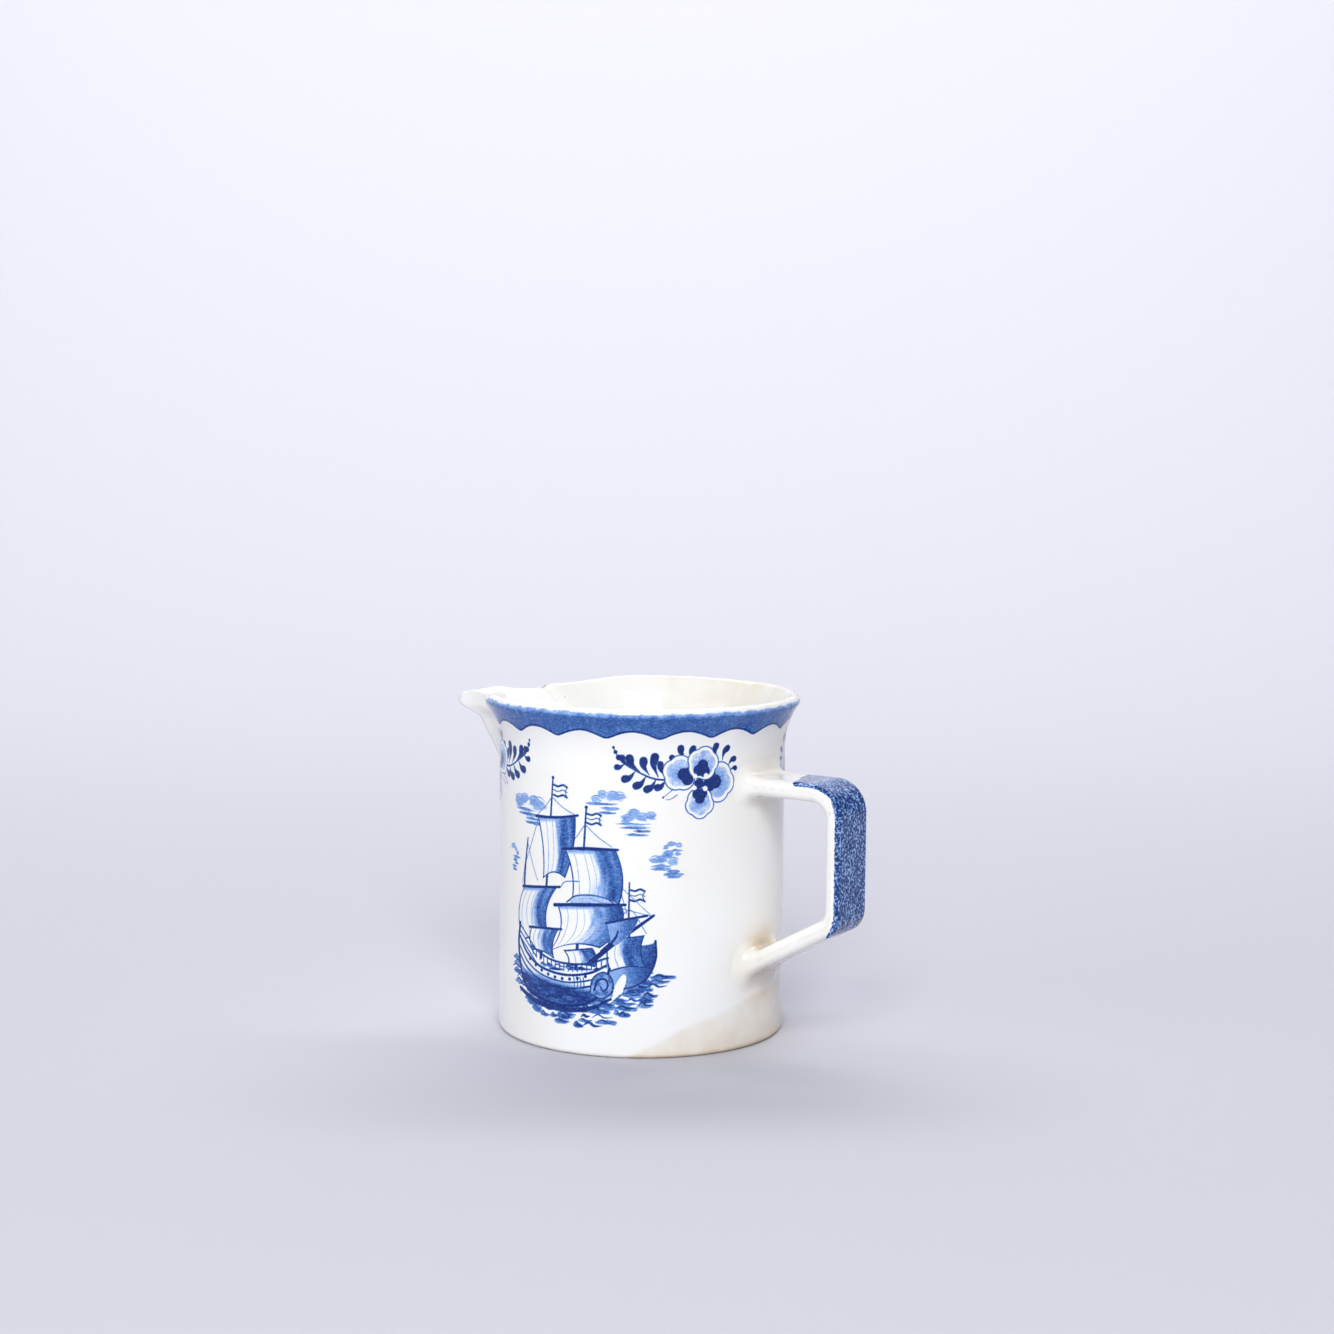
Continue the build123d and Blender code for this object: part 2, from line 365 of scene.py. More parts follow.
def grid_values(distance, axes, cell):
    """Distances on a grid: rough far from the surface, exact near it, outside at the border."""
    coarse_axes = [a[::COARSE] for a in axes]
    coarse = np.stack(np.meshgrid(*coarse_axes, indexing="ij"), -1).reshape(-1, 3)
    coarse = distance(coarse).reshape([len(a) for a in coarse_axes])
    nearest = [np.minimum(np.round(np.arange(len(a)) / COARSE).astype(int), len(c) - 1)
               for a, c in zip(axes, coarse_axes)]
    values = coarse[np.ix_(*nearest)].copy()
    close = np.argwhere(np.abs(values) < 1.6 * COARSE * cell)
    points = np.stack([axes[i][close[:, i]] for i in range(3)], 1)
    blocks = np.array_split(points, 1 + len(points) // BLOCK)
    values[tuple(close.T)] = np.concatenate([distance(block) for block in blocks])
    for axis in range(3):
        for end in (0, -1):
            np.moveaxis(values, axis, 0)[end] = cell
    return values


def edge_ends(values, axis):
    """The values at both ends of every grid edge along an axis."""
    first, second = [slice(None)] * 3, [slice(None)] * 3
    first[axis], second[axis] = slice(0, -1), slice(1, None)
    return values[tuple(first)], values[tuple(second)]


def shifted(cells, u, v, du, dv):
    """Grid cells moved back along two axes."""
    moved = cells.copy()
    moved[:, u] -= du
    moved[:, v] -= dv
    return moved


def cell_points(values):
    """One point for each cell that the surface crosses, and the number of the point in each cell."""
    total = np.zeros(tuple(n - 1 for n in values.shape) + (3,))
    count = np.zeros(total.shape[:3])
    for axis in range(3):
        start, finish = edge_ends(values, axis)
        cross = (start < 0) != (finish < 0)
        where = np.argwhere(cross)
        place = where.astype(float)
        place[:, axis] += start[cross] / (start[cross] - finish[cross])
        u, v = [i for i in range(3) if i != axis]
        for du in (0, 1):
            for dv in (0, 1):
                cells = shifted(where, u, v, du, dv)
                good = ((cells >= 0) & (cells < np.array(count.shape))).all(1)
                key = tuple(cells[good].T)
                np.add.at(total, key, place[good])
                np.add.at(count, key, 1)
    active = np.argwhere(count > 0)
    index = np.full(count.shape, -1, int)
    index[tuple(active.T)] = np.arange(len(active))
    return total[tuple(active.T)] / count[tuple(active.T)][:, None], index


def cell_quads(inside, index):
    """A quad between the four cells around every grid edge that crosses the surface."""
    quads = []
    for axis in range(3):
        u, v = [i for i in range(3) if i != axis]
        if axis == 1:
            u, v = v, u
        start, finish = edge_ends(inside, axis)
        for crosses, order in ((start & ~finish, 1), (~start & finish, -1)):
            where = np.argwhere(crosses)
            corners = [index[tuple(shifted(where, u, v, du, dv).T)]
                       for du, dv in ((0, 0), (1, 0), (1, 1), (0, 1))]
            quads.append(np.stack(corners, 1)[:, ::order])
    return np.concatenate(quads)


def surface_mesh(distance, low, high, cell):
    """Vertices, quads and normals of the zero surface of a distance, on a grid of cells."""
    axes = [np.arange(a - 2 * cell, b + 3 * cell, cell) for a, b in zip(low, high)]
    values = grid_values(distance, axes, cell)
    points, index = cell_points(values)
    quads = cell_quads(values < 0, index)
    verts = np.array([a[0] for a in axes]) + cell * points
    for _ in range(SETTLE):
        slope = gradient(distance, verts)
        move = -distance(verts)[:, None] * slope / np.maximum((slope ** 2).sum(1), 0.05)[:, None]
        length = np.linalg.norm(move, axis=1)
        move *= np.minimum(1, 0.6 * cell / np.maximum(length, 1e-9))[:, None]
        verts = verts + move
    normals = gradient(distance, verts)
    normals /= np.maximum(np.linalg.norm(normals, axis=1), 1e-9)[:, None]
    return verts, quads, normals


def put(name, data):
    """A new object in the scene."""
    thing = bpy.data.objects.new(name, data)
    bpy.context.scene.collection.objects.link(thing)
    return thing


def add_mesh(name, verts, faces, normals, attributes=None):
    """A new object from millimetre vertices, smooth shaded, with its normals and attributes."""
    mesh = bpy.data.meshes.new(name)
    mesh.vertices.add(len(verts))
    mesh.vertices.foreach_set("co", (np.asarray(verts) * MM).ravel())
    faces = np.asarray(faces)
    sides = faces.shape[1]
    mesh.loops.add(faces.size)
    mesh.loops.foreach_set("vertex_index", faces.ravel().astype(np.int32))
    mesh.polygons.add(len(faces))
    mesh.polygons.foreach_set("loop_start", np.arange(0, faces.size, sides, dtype=np.int32))
    mesh.polygons.foreach_set("loop_total", np.full(len(faces), sides, dtype=np.int32))
    mesh.polygons.foreach_set("use_smooth", np.ones(len(faces), bool))
    mesh.update(calc_edges=True)
    for key, values in (attributes or {}).items():
        layer = mesh.attributes.new(key, "FLOAT", "POINT")
        layer.data.foreach_set("value", np.asarray(values, np.float32))
    mesh.normals_split_custom_set_from_vertices(np.asarray(normals, float))
    return put(name, mesh)


# ---- places on the outer wall
PROUD = 0.035  # height of a printed sheet over the glaze below it


def wall_point(azimuth, run):
    """Point and normal of the outer wall at an azimuth and a run up its profile from the foot."""
    arc = np.clip((run - FLARE_Z) / FLARE_RADIUS, 0, LEAN)
    cap = np.clip((run - FLARE_Z - FLARE_RUN) / CAP, 0, math.pi)
    normal_r = np.cos(arc) * np.cos(cap) + np.sin(arc) * np.sin(cap)
    normal_z = -np.sin(arc) * np.cos(cap) + np.cos(arc) * np.sin(cap)
    r = RADIUS + FLARE_RADIUS * (1 - np.cos(arc)) + CAP * (normal_r - np.cos(arc)) + PROUD * normal_r
    level = np.minimum(run, FLARE_Z) + FLARE_RADIUS * np.sin(arc) + CAP * (normal_z + np.sin(arc))
    level = level + PROUD * normal_z
    z = level
    cos_a, sin_a = np.cos(azimuth), np.sin(azimuth)
    for _ in range(3):
        z = level - rim_dip(r * cos_a, z)
    point = np.stack([r * cos_a, r * sin_a, z], -1)
    return point, np.stack([normal_r * cos_a, normal_r * sin_a, normal_z], -1)


# ---- drawing with a brush
CURVE_STEPS = 7


def curve(points):
    """A smooth line through a few points."""
    p = np.array(points, float)
    if len(p) < 3:
        return p
    p = np.vstack([2 * p[0] - p[1], p, 2 * p[-1] - p[-2]])
    t = np.linspace(0, 1, CURVE_STEPS, endpoint=False)[:, None]
    spans = []
    for a, b, c, d in zip(p[:-3], p[1:-2], p[2:-1], p[3:]):
        spans.append(0.5 * (2 * b + (c - a) * t + (2 * a - 5 * b + 4 * c - d) * t**2
                            + (3 * b - a - 3 * c + d) * t**3))
    return np.vstack(spans + [p[-2][None]])


BRUSH = 1.18  # how much ink spreads from the drawn width of a line
BRUSH_EDGE = 0.22  # width over which a painted edge fades
LINE_EDGE = 0.2  # the same for the band and the sails
LEAF_TONE = 0.97


def painted(depth, edge=BRUSH_EDGE):
    """Cover of the ink at a depth inside a painted edge."""
    return np.clip(0.5 + depth / edge, 0, 1)


class Print:
    """A patch of printed decoration on the wall, inked point by point."""

    def __init__(self, low, high, step):
        self.step = step
        self.x, self.y = np.meshgrid(np.arange(low[0], high[0], step), np.arange(low[1], high[1], step),
                                     indexing="ij")
        self.ink = np.zeros(self.x.shape)
        self.low = np.array(low, float)

    def window(self, points, margin):
        """The part of the lattice around some points."""
        a = np.floor((points.min(0) - margin - self.low) / self.step).astype(int)
        b = np.ceil((points.max(0) + margin - self.low) / self.step).astype(int) + 1
        a = np.clip(a, 0, np.array(self.x.shape))
        b = np.clip(b, 0, np.array(self.x.shape))
        return slice(a[0], b[0]), slice(a[1], b[1])

    def reach(self, points, margin):
        """Window, distance to a line through the points, and how far along it the nearest place is."""
        where = self.window(points, margin)
        x, y = self.x[where][..., None], self.y[where][..., None]
        a, b = points[:-1], points[1:]
        span = b - a
        length = np.maximum((span ** 2).sum(1), 1e-9)
        t = np.clip(((x - a[:, 0]) * span[:, 0] + (y - a[:, 1]) * span[:, 1]) / length, 0, 1)
        away = np.hypot(x - a[:, 0] - t * span[:, 0], y - a[:, 1] - t * span[:, 1])
        if away.size == 0:
            return where, np.zeros(x.shape[:2]), np.zeros(x.shape[:2])
        nearest = away.argmin(-1)
        along = (nearest + np.take_along_axis(t, nearest[..., None], -1)[..., 0]) / len(span)
        return where, away.min(-1), along

    def stroke(self, points, start, finish=None, tone=1.0, middle=None):
        """A brush line: its width runs from start to finish, or swells to middle halfway."""
        finish = start if finish is None else finish
        line = curve(points)
        where, away, along = self.reach(line, max(start, finish, middle or 0) + 0.3)
        width = BRUSH * (start + (finish - start) * along)
        if middle is not None:
            width = width + (middle - (start + finish) / 2) * np.sin(math.pi * along)
        cover = painted(width / 2 - away)
        self.ink[where] = np.maximum(self.ink[where], cover * tone)

    def fill(self, points, tone, wipe=True):
        """Fills an outline with a tone or with a tone that is a function of the place."""
        line = curve(list(points) + [points[0]])
        where, away, _ = self.reach(line, 0.4)
        x, y = self.x[where], self.y[where]
        inside = np.zeros(x.shape, bool)
        for (ax, ay), (bx, by) in zip(line, np.roll(line, -1, 0)):
            if ay != by:
                inside ^= ((ay > y) != (by > y)) & (x < (bx - ax) * (y - ay) / (by - ay) + ax)
        cover = painted(np.where(inside, away, -away))
        value = tone(x, y) if callable(tone) else tone
        under = self.ink[where] * (1 - cover) if wipe else self.ink[where]
        self.ink[where] = np.maximum(under, cover * value)

    def dot(self, x, y, radius, tone=1.0, wipe=False):
        """A round dab, or a hole in the ink when it wipes at tone 0."""
        away = np.hypot(self.x - x, self.y - y)
        cover = painted(radius - away)
        self.ink = np.maximum(self.ink * (1 - cover) if wipe else self.ink, cover * tone)

    def wash(self, x, y, reach, rise, tone, seed):
        """A soft lens of thin ink with ragged ends."""
        where = self.window(np.array([(x - reach, y - rise), (x + reach, y + rise)]), 0.3)
        gx, gy = self.x[where], self.y[where]
        ragged = ripple(gx * 0.6, gy * 1.8, seed, 1.0)
        away = np.sqrt(((gx - x) / reach) ** 2 + ((gy - y) / rise) ** 2) + 0.9 * (ragged - 0.5)
        value = tone * smooth_step(1.0 - away, 0.0, 0.45) * (0.60 + 0.75 * ragged)
        self.ink[where] = np.maximum(self.ink[where], value)

    def leaf(self, x, y, angle, length, width):
        """A leaf painted with one press of the brush: a stalk that swells to a round end."""
        c, s = math.cos(angle), math.sin(angle)
        bend = 0.10 * length
        spine = [(x, y), (x + 0.5 * length * c - bend * s, y + 0.5 * length * s + bend * c),
                 (x + (length - width / 2) * c, y + (length - width / 2) * s)]
        width *= 1.06
        line = curve(spine)
        where, away, along = self.reach(line, width)
        half = width / 2 * (0.10 + 0.90 * smooth_step(along, 0.0, 0.85))
        cover = painted(half - away)
        self.ink[where] = np.maximum(self.ink[where], cover * LEAF_TONE)

    def sheet(self, name, azimuth, mirror=False, keep=None):
        """The patch as a thin sheet on the wall, kept only where there is ink nearby."""
        turn = -1 if mirror else 1
        point, normal = wall_point(azimuth + turn * self.x / RADIUS, self.y)
        inked = self.ink > 0.004
        near = inked.copy()
        for _ in range(3):
            grown = near.copy()
            grown[1:] |= near[:-1]
            grown[:-1] |= near[1:]
            grown[:, 1:] |= near[:, :-1]
            grown[:, :-1] |= near[:, 1:]
            near = grown
        if keep is not None:
            near &= keep(point.reshape(-1, 3)).reshape(near.shape)
        cells = near[:-1, :-1] & near[1:, :-1] & near[1:, 1:] & near[:-1, 1:]
        number = np.arange(self.x.size).reshape(self.x.shape)
        quads = np.stack([number[:-1, :-1][cells], number[1:, :-1][cells], number[1:, 1:][cells],
                          number[:-1, 1:][cells]], 1)
        if mirror:
            quads = quads[:, ::-1]
        used, quads = np.unique(quads, return_inverse=True)
        return add_mesh(name, point.reshape(-1, 3)[used], quads.reshape(-1, 4),
                        normal.reshape(-1, 3)[used], {"ink": self.ink.ravel()[used]})


OCTAVES = 3


def ripple(x, y, seed, size):
    """Smooth seeded noise between 0 and 1."""
    rng = np.random.default_rng(seed)
    total, weight = np.zeros(np.shape(x)), 0.0
    for octave in range(OCTAVES):
        table = rng.random((64, 64))
        fx, fy = x / size * 2 ** octave + 17.3, y / size * 2 ** octave + 31.7
        ix, iy = np.floor(fx).astype(int), np.floor(fy).astype(int)
        tx, ty = fx - ix, fy - iy
        tx, ty = tx * tx * (3 - 2 * tx), ty * ty * (3 - 2 * ty)
        a = table[ix % 64, iy % 64] * (1 - tx) + table[(ix + 1) % 64, iy % 64] * tx
        b = table[ix % 64, (iy + 1) % 64] * (1 - tx) + table[(ix + 1) % 64, (iy + 1) % 64] * tx
        total = total + (a * (1 - ty) + b * ty) * 0.5 ** octave
        weight += 0.5 ** octave
    return total / weight


# ---- the scalloped rim band
SCALLOPS = 18
SCALLOP_LOW = 82.6  # run up the profile of the border's lowest points
SCALLOP_RISE = 2.0
SCALLOP_TURN = math.radians(-69.0)  # azimuth of one of the lowest points


def rim_band():
    """The blue band round the rim, worn along its top, with a dark scalloped border."""
    half = math.pi * RADIUS
    patch = Print((-half, SCALLOP_LOW - 1.5), (half + 0.21, RIM_RUN + 3.0), 0.21)
    azimuth = patch.x / RADIUS
    phase = (azimuth - SCALLOP_TURN) * SCALLOPS / 2
    wave = (np.sqrt(np.sin(phase) ** 2 + 0.05) - 0.22) / 0.80
    uneven = 0.5 * (ripple(patch.x, patch.y * 0, 5, 9) - 0.5)
    border = SCALLOP_LOW + SCALLOP_RISE * wave + uneven - 0.25
    above = patch.y - border
    wear = ripple(patch.x, patch.y * 2.5, 8, 1.6) - 0.5
    top = RIM_RUN + 1.75 + 0.5 * (ripple(patch.x, patch.y * 0, 9, 14) - 0.5) + 1.1 * wear
    body_tone = 0.57 + 0.12 * (ripple(patch.x * 2, patch.y, 11, 3) - 0.5)
    fade = smooth_step(top - patch.y, -0.15, 1.6)
    tone = body_tone * (0.35 + 0.65 * fade)
    tone = np.maximum(tone, 0.99 * painted(0.30 - np.abs(above - 0.26), 0.24))
    cover = painted(above, LINE_EDGE) * painted(top - patch.y, 0.3)
    patch.ink = cover * tone
    return patch


# ---- flower sprays
def blossom_outline(x, y, radius, lobes, depth, turn):
    """A round outline with shallow lobes."""
    angles = [2 * math.pi * k / 48 for k in range(48)]
    waves = [abs(math.cos(lobes / 2 * (a - turn))) ** 0.8 for a in angles]
    reach = [radius * (1 - depth + 2.2 * depth * wave) for wave in waves]
    return [(x + r * math.cos(a), y + r * math.sin(a)) for r, a in zip(reach, angles)]


def flower(patch, x, y):
    """A flower of four lobed petals, white at the edge, pale blue inside and dark at the heart."""
    petals = ((5.0, -0.8, 4.9), (-5.3, 1.9, 4.3), (0.9, 4.2, 4.1), (0.1, -6.0, 3.7))
    for number, (dx, dy, radius) in enumerate(petals):
        turn = math.atan2(dy, dx)
        px, py = x + dx, y + dy

        def shade(gx, gy, px=px, py=py, radius=radius, number=number):
            away = np.hypot(gx - px, gy - py) / radius
            return 0.13 + 0.34 * ripple(gx, gy, 40 + number, 1.3) * (1.15 - 0.9 * away)

        edge = blossom_outline(px, py, radius, 5, 0.060, turn)
        patch.fill(edge, 0.0)
        patch.fill(blossom_outline(px, py, 0.79 * radius, 5, 0.065, turn), shade)
        patch.stroke(edge + edge[:1], 0.24, tone=0.74)
        hx, hy = x + 0.66 * dx, y + 0.66 * dy
        patch.fill(blossom_outline(hx, hy, 0.49 * radius, 3, 0.16, turn), 0.98, wipe=False)
        for side in (-0.5, -0.17, 0.17, 0.5):
            a = turn + side
            patch.stroke([(hx + 0.42 * radius * math.cos(a), hy + 0.42 * radius * math.sin(a)),
                          (hx + 0.78 * radius * math.cos(a), hy + 0.78 * radius * math.sin(a))],
                         0.24, 0.08, tone=0.72)
    patch.dot(x - 0.2, y - 1.0, 1.3, 0.98)
    for dx, dy, radius in ((-1.3, 1.0, 0.60), (1.7, 1.0, 0.66), (1.5, -2.3, 0.70), (-1.4, -2.0, 0.58)):
        patch.dot(x + dx, y + dy, radius, 0.0, wipe=True)


def spray():
    """A flower with leaf sprigs and a string of buds; it runs off to the left of its flower."""
    patch = Print((-25, 58), (12, 83), 0.17)
    y0 = 70.6
    stem = [(-7.5, y0 + 1.2), (-12, y0 + 1.6), (-16.5, y0 + 3.6), (-20.5, y0 + 6.2), (-22.3, y0 + 9.6)]
    patch.stroke(stem, 0.42, 0.16, tone=0.95)
    for x, y, degrees, length, width in (
            (-8.6, 1.9, 118, 4.6, 1.5), (-10.9, 2.0, 100, 6.2, 2.0), (-13.2, 2.6, 112, 4.8, 1.9),
            (-15.6, 3.4, 128, 5.2, 2.0), (-18.4, 4.8, 128, 3.4, 1.5),
            (-8.9, 1.3, 222, 3.8, 1.7), (-11.4, 1.5, 228, 4.4, 1.8), (-13.9, 2.4, 226, 4.6, 1.8),
            (-16.6, 3.6, 218, 4.4, 1.8), (-19.3, 5.4, 205, 3.0, 1.4)):
        patch.leaf(x, y0 + y, math.radians(degrees), length, width)
    for x, y, radius in ((-20.9, 6.9, 0.72), (-21.7, 8.3, 0.50), (-22.2, 9.5, 0.34)):
        patch.dot(x, y0 + y, radius, 0.97)
    for x, y, degrees, length, width in (
            (-3.6, 6.2, 118, 4.4, 1.6), (-2.6, 6.4, 78, 3.6, 1.5), (-5.0, 5.4, 148, 3.6, 1.4),
            (4.8, 6.2, 98, 4.2, 1.6), (6.4, 5.6, 66, 4.2, 1.6), (8.2, 4.2, 38, 3.2, 1.4),
            (9.0, 3.0, 12, 2.2, 1.2)):
        patch.leaf(x, y0 + y, math.radians(degrees), length, width)
    patch.stroke([(-6.8, y0 - 1.0), (-8.6, y0 - 2.4), (-9.4, y0 - 3.0)], 0.16, 0.10, tone=0.8)
    patch.stroke([(-6.0, y0 - 2.6), (-7.6, y0 - 3.6), (-8.8, y0 - 3.8)], 0.16, 0.10, tone=0.8)
    patch.dot(-9.6, y0 - 3.2, 0.26, 0.8)
    flower(patch, 0.0, y0 + 1.0)
    return patch


# ---- the sailing ship picture
def sail(patch, corners, belly, arch, light, seed, seams):
    """A filled sail between four corners, shaded down one side, with its seams and edges."""
    (x0, y0), (x1, y1), (x2, y2), (x3, y3) = corners
    points = np.array(corners, float)
    where = patch.window(points, abs(belly) + abs(arch) + 1.0)
    x, y = patch.x[where], patch.y[where]
    u = np.full(x.shape, 0.5)
    v = np.full(x.shape, 0.5)
    for _ in range(6):
        top = y0 + (y1 - y0) * u
        bottom = y3 + (y2 - y3) * u + arch * 4 * u * (1 - u)
        v = (top - y) / (top - bottom)
        vc = np.clip(v, -0.2, 1.2)
        sway = belly * 4 * vc * (1 - vc)
        left = x0 + (x3 - x0) * vc + sway
        right = x1 + (x2 - x1) * vc + sway * 1.15
        u = np.clip((x - left) / (right - left), -0.3, 1.3)
    wide, tall = right - left, top - bottom
    edge = np.minimum(np.minimum(u, 1 - u) * wide, np.minimum(v, 1 - v) * tall)
    cover = painted(edge, LINE_EDGE)
    streak = ripple(u * 9, v * 1.4, seed, 1.0)
    shade = smooth_step(u + 0.25 * (streak - 0.5), light, light + 0.42)
    wash = (0.05 + 0.60 * shade) * (0.55 + 0.75 * streak)
    wash = np.maximum(wash, 0.62 * smooth_step(u, 0.86, 1.0))
    wash = np.maximum(wash, 0.30 * smooth_step(0.14 - v, 0.0, 0.10))
    for k in range(1, seams + 1):
        place = k / (seams + 1) + 0.02 * math.sin(3.1 * k + seed)
        line = painted(0.085 - np.abs(u - place - 0.012 * np.sin(7 * v + k)) * wide, LINE_EDGE)
        wash = np.maximum(wash, line * 0.62 * (0.45 + 0.55 * streak))
    rim = painted(0.19 - np.abs(edge - 0.14), LINE_EDGE)
    tone = np.maximum(wash, 0.92 * rim)
    patch.ink[where] = patch.ink[where] * (1 - cover) + cover * tone


def flag(patch, x, y, length, height):
    """A plain banded pennant that streams to the right."""
    for level, width, tone in ((0.0, 0.42, 0.85), (0.5, 0.28, 0.55), (1.0, 0.42, 0.85)):
        yy = y + level * height
        patch.stroke([(x, yy), (x + 0.35 * length, yy - 0.3), (x + 0.7 * length, yy + 0.15),
                      (x + length, yy - 0.35)], width, tone=tone)
    end = x + length
    patch.stroke([(end, y - 0.4), (end - 0.5, y + 0.4 * height), (end, y + height - 0.4)], 0.18, tone=0.8)


def cloud(patch, x, y, width, height, seed, bars):
    """A cloud: brushed lumps, dark along their tops, over level bars of thin wash."""
    rng = np.random.default_rng(seed)
    for k in range(4):
        cx = x + width * (0.16 * (k - 1.5) + 0.08 * (rng.random() - 0.5))
        cy = y + height * (0.16 + 0.22 * rng.random()) - 0.10 * abs(k - 1.5) * height
        size = width * (0.11 + 0.05 * rng.random())
        patch.wash(cx, cy, size * 1.25, size * 0.75, 0.26 + 0.12 * rng.random(), seed + k)
        lump = [(cx + size * math.cos(t), cy + 0.70 * size * math.sin(t)) for t in (0.5, 1.1, 1.7, 2.4)]
        patch.stroke(lump, 0.08, 0.08, tone=0.42 + 0.14 * rng.random(), middle=0.26)
    for k in range(bars):
        level = (k + 0.5) / bars
        reach = width * (0.24 + 0.16 * rng.random()) * (1 - 0.35 * level)
        cx = x + 0.35 * width * (rng.random() - 0.5) + 0.12 * width * level
        cy = y - height * (0.06 + 0.56 * level)
        patch.wash(cx, cy, reach, 0.34 + 0.26 * rng.random(), 0.34 + 0.18 * rng.random(), seed + 20 + k)
        patch.stroke([(cx - 0.7 * reach, cy + 0.1), (cx - 0.2 * reach, cy + 0.3), (cx + 0.5 * reach, cy)],
                     0.06, 0.06, tone=0.45 + 0.2 * rng.random(), middle=0.26)


def sea(patch, x, y, width, depth, seed):
    """A rounded patch of water: thin washes and rows of short waves, with breaks of bare glaze."""
    rng = np.random.default_rng(seed)
    rows = int(depth / 1.15)
    for row in range(rows):
        level = (row + 0.5) / rows
        reach = width / 2 * math.sqrt(max(1 - level ** 2.0, 0.03))
        cursor = -reach + rng.random() * 1.5
        while cursor < reach:
            long = 2.0 + 4.2 * rng.random()
            cy = y - depth * level + 0.8 * (rng.random() - 0.5)
            if rng.random() < 0.72:
                patch.wash(x + cursor + long / 2, cy, long * 0.62, 0.55 + 0.5 * rng.random(),
                           0.42 + 0.34 * rng.random(), seed + row)
            lift = 0.45 + 0.5 * rng.random()
            patch.stroke([(x + cursor, cy - 0.1), (x + cursor + 0.3 * long, cy + lift),
                          (x + cursor + 0.6 * long, cy + 0.1), (x + cursor + long, cy + 0.30)],
                         0.10, 0.06, tone=0.62 + 0.34 * rng.random(), middle=0.30 + 0.45 * rng.random())
            cursor += long * (0.62 + 0.7 * rng.random())


def small_ship(patch):
    """The smaller ship behind, half hidden by the great one's bow."""
    hull = [(7.0, 20.4), (9.0, 18.4), (13.5, 18.2), (17.5, 20.6), (19.6, 25.0), (19.9, 30.2), (18.6, 29.8),
            (13.0, 29.0), (8.0, 28.4)]
    patch.fill(hull, lambda x, y: 0.30 + 0.45 * smooth_step(x, 9, 19) * (0.6 + 0.6 * ripple(x, y, 21, 2)))
    sail(patch, [(8.2, 31.0), (17.2, 32.2), (17.6, 23.6), (8.4, 22.4)], -0.9, 0.8, 0.30, 22, 3)
    patch.stroke([(19.9, 30.6), (20.0, 26.0), (17.9, 21.2), (13.8, 18.6), (9.0, 18.2)], 0.5, 0.35)
    patch.stroke([(13.2, 31.6), (13.1, 37.0), (13.2, 45.6)], 0.42, 0.26)
    flag(patch, 13.3, 41.2, 3.8, 2.6)
    patch.stroke([(8.4, 31.6), (13.2, 38.6), (17.6, 32.6)], 0.14, tone=0.7)


def masts_and_rigging(patch):
    """The great ship's three masts, its pennants and its ropes."""
    for mast in (((-12.0, 24.0), (-9.9, 46.0), (-8.1, 71.0)), ((-1.0, 22.0), (0.6, 44.0), (1.8, 64.2)),
                 ((-19.4, 26.0), (-18.6, 44.0), (-17.2, 54.5))):
        patch.stroke(mast, 0.75, 0.34, tone=0.95)
    for x, y in ((-8.1, 71.2), (1.8, 64.4)):
        patch.dot(x, y, 0.42)
    flag(patch, -7.9, 66.8, 4.2, 2.6)
    flag(patch, 2.0, 60.4, 3.8, 2.4)
    for a, b in (((-8.4, 66.2), (-13.2, 61.4)), ((-8.4, 66.2), (-1.4, 62.2)), ((1.5, 60.0), (-3.0, 54.4)),
                 ((1.5, 60.0), (8.6, 54.6)), ((-17.4, 53.6), (-19.6, 42.4)), ((-17.4, 53.6), (-13.4, 44.0)),
                 ((8.4, 53.4), (12.6, 37.6)), ((-12.9, 60.6), (-18.6, 47.0))):
        patch.stroke([a, ((a[0] + b[0]) / 2, (a[1] + b[1]) / 2 - 0.4), b], 0.15, tone=0.72)


def great_sails(patch):
    """The sails of the great ship and the yards they hang from, the far ones first."""
    sail(patch, [(-13.4, 60.8), (-1.2, 62.0), (-4.2, 45.6), (-11.4, 44.6)], 0.9, 1.6, 0.40, 31, 4)
    patch.stroke([(-13.9, 60.7), (-7.4, 61.0), (-0.6, 62.1)], 0.62, 0.5)
    sail(patch, [(-18.6, 41.8), (-6.6, 43.0), (-8.2, 28.2), (-19.6, 27.0)], -2.4, 1.4, 0.42, 32, 5)
    patch.stroke([(-19.3, 41.6), (-12.4, 42.4), (-5.8, 43.2)], 0.62, 0.5)
    sail(patch, [(-4.4, 53.4), (9.6, 53.9), (10.6, 39.8), (-2.4, 39.2)], 1.3, 1.5, 0.36, 33, 5)
    patch.stroke([(-5.0, 53.2), (2.4, 53.9), (10.2, 53.9)], 0.62, 0.5)
    patch.stroke([(-5.6, 43.2), (-4.0, 44.8), (0.0, 45.2)], 0.2, tone=0.7)
    mast_top = [(-3.6, 39.6), (-1.0, 41.4), (3.4, 41.9), (7.6, 41.2), (9.6, 39.6)]
    patch.fill(mast_top, 0.22)
    patch.stroke(mast_top, 0.3, tone=0.8)
    sail(patch, [(-6.6, 38.6), (11.2, 39.8), (5.6, 28.4), (-9.6, 25.6)], 2.4, 1.7, 0.44, 34, 6)
    patch.stroke([(-7.4, 38.4), (1.8, 39.4), (12.2, 39.9)], 0.75, 0.55)
    sail(patch, [(-15.6, 31.6), (-6.0, 32.2), (-7.4, 24.2), (-15.4, 25.4)], -1.0, 0.8, 0.34, 35, 4)
    patch.stroke([(-16.4, 31.4), (-10.8, 31.9), (-5.2, 32.3)], 0.5, 0.4)
    sail(patch, [(-4.6, 27.0), (3.6, 28.4), (4.4, 23.4), (-3.4, 22.8)], 0.8, 0.5, 0.30, 36, 3)


